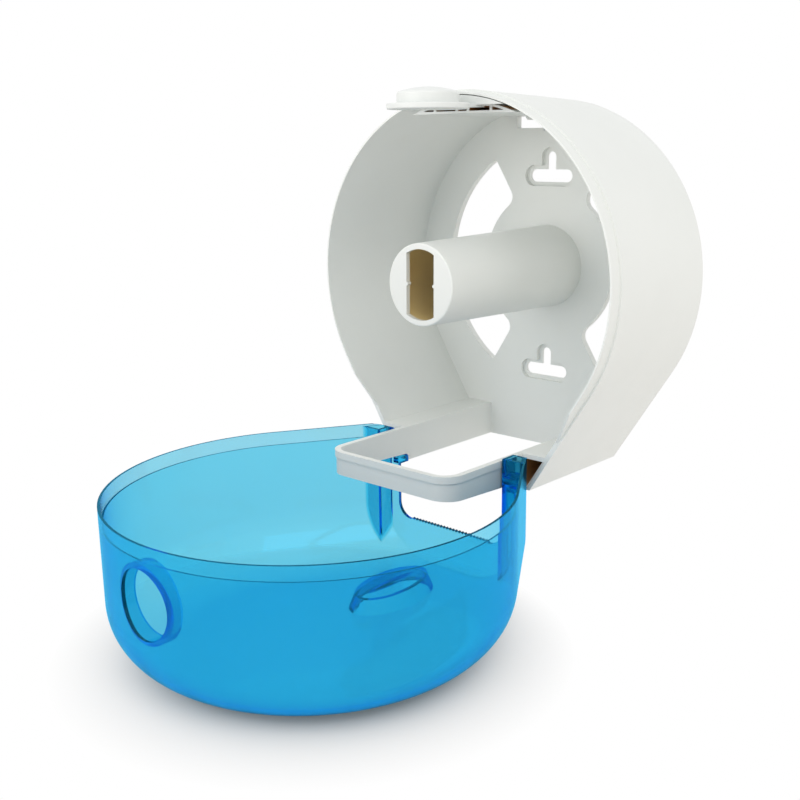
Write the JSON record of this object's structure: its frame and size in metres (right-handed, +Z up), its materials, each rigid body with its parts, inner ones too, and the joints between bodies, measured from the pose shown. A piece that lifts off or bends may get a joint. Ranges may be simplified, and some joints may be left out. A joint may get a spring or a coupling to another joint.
{
  "type": "jumbo toilet roll dispenser",
  "caption": "Wall-mounted round dispenser for a large paper roll: white open housing with spindle and paper guard, translucent blue cover hinged at the bottom, push-button latch on top.",
  "frame": {"origin": "centre of the round drum on the wall plane, which is the back face of the housing", "axes": "+Z up, -Y out of the wall towards the user, +X to the user's right; the cover is open at rest"},
  "size_m": [0.2144, 0.3218, 0.2871],
  "materials": {
    "white_plastic": "satin moulded ABS",
    "spindle_plastic": "satin moulded ABS",
    "lever_plastic": "satin moulded ABS",
    "blue_plastic": "polished translucent blue",
    "pin_steel": "ground",
    "screw_steel": "zinc plated",
    "spring_steel": "drawn wire"
  },
  "bodies": {
    "housing": {"back_housing": "white_plastic", "spindle": "spindle_plastic", "spindle_screws": "screw_steel", "latch_pin": "pin_steel", "latch_spring": "spring_steel"},
    "cover": {"front_cover": "blue_plastic", "hinge_pin_left": "pin_steel", "hinge_pin_right": "pin_steel"},
    "latch": {"latch_lever": "lever_plastic"}
  },
  "joints": [
    {"name": "cover_hinge", "type": "hinge", "parent": "housing", "child": "cover", "pos_m": [0, -0.1063, -0.1058], "axis": [1, 0, 0], "range_deg": [-90.6, 0]},
    {"name": "latch_press", "type": "hinge", "parent": "housing", "child": "latch", "pos_m": [0, -0.0082, 0.0964], "axis": [1, 0, 0], "range_deg": [0, 5], "stiffness_Nm_per_rad": 4, "springref_deg": -5.73, "deforming": ["latch_spring"]}
  ]
}
